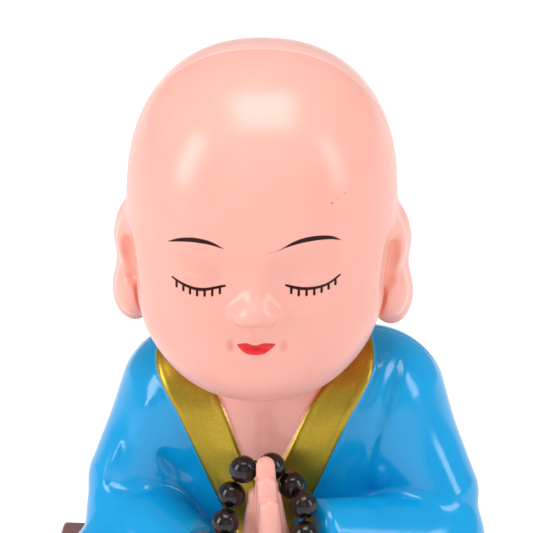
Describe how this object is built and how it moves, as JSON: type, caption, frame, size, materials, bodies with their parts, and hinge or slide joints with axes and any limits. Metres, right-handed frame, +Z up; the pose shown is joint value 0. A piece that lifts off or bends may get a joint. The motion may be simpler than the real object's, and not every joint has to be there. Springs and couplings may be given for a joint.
{
  "type": "baby monk statue",
  "caption": "Small moulded figure of a seated baby monk with closed eyes, praying in a blue robe, with a loop of dark beads over its hands, on a low rectangular base.",
  "frame": {"origin": "Centre of the base's underside, on the surface that the statue stands on", "axes": "+Z up, the figure faces -Y, its left hand side is towards +X"},
  "size_m": [0.106, 0.0748, 0.1398],
  "materials": {
    "base_plastic": "brown moulded plastic with a low sheen",
    "skin_plastic": "pink soft moulded plastic with a soft gloss, painted brows, lashes and lips",
    "robe_plastic": "glossy blue plastic, neckline and cuffs painted gold, chest and hands in skin colour",
    "bead_wood": "black-brown lacquered wood",
    "thread": "black elastic thread"
  },
  "bodies": {
    "root": {"base": "base_plastic", "head_front": "skin_plastic", "head_back": "skin_plastic", "body_front": "robe_plastic", "body_back": "robe_plastic", "bead_thread": "thread", "bead_01": "bead_wood", "bead_02": "bead_wood", "bead_03": "bead_wood", "bead_04": "bead_wood", "bead_05": "bead_wood", "bead_06": "bead_wood", "bead_07": "bead_wood", "bead_08": "bead_wood", "bead_09": "bead_wood", "bead_10": "bead_wood", "bead_11": "bead_wood", "bead_12": "bead_wood", "bead_13": "bead_wood", "bead_14": "bead_wood", "bead_15": "bead_wood"}
  },
  "joints": []
}
